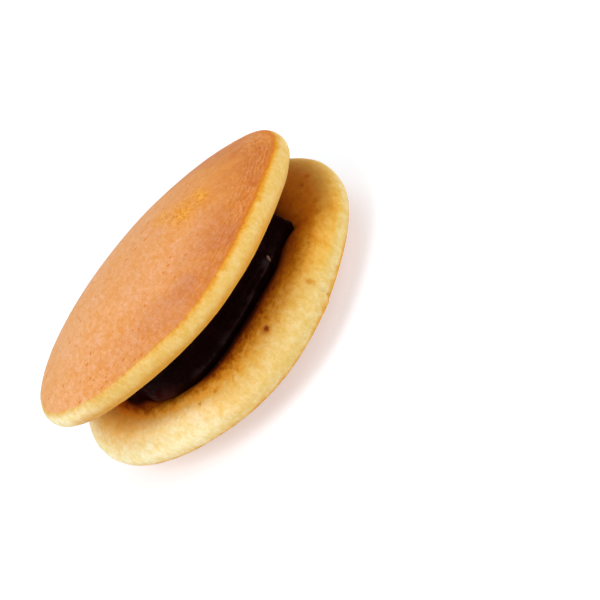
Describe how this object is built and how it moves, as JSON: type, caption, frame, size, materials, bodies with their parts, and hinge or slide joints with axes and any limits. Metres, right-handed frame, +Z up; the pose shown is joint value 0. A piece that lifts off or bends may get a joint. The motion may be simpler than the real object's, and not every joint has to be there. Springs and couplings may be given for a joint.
{
  "type": "dorayaki",
  "caption": "Two round browned griddle cakes, pinched together at the back and open at the front, round a mound of dark sweet bean paste; lies flat on the lower cake.",
  "frame": {"origin": "middle of the flat spot under the lower cake, on the surface that the sweet rests on", "axes": "+Z up, -Y towards the open side where the paste shows, +X to the right as seen from the open side"},
  "size_m": [0.0939, 0.0937, 0.0384],
  "materials": {
    "griddle_cake": "soft baked sponge, browned on the outer face and pale yellow at the wall and the inner face",
    "bean_paste": "moist, near black with a dull sheen"
  },
  "bodies": {
    "root": {"bottom_cake": "griddle_cake", "bean_paste": "bean_paste", "top_cake": "griddle_cake"}
  },
  "joints": []
}
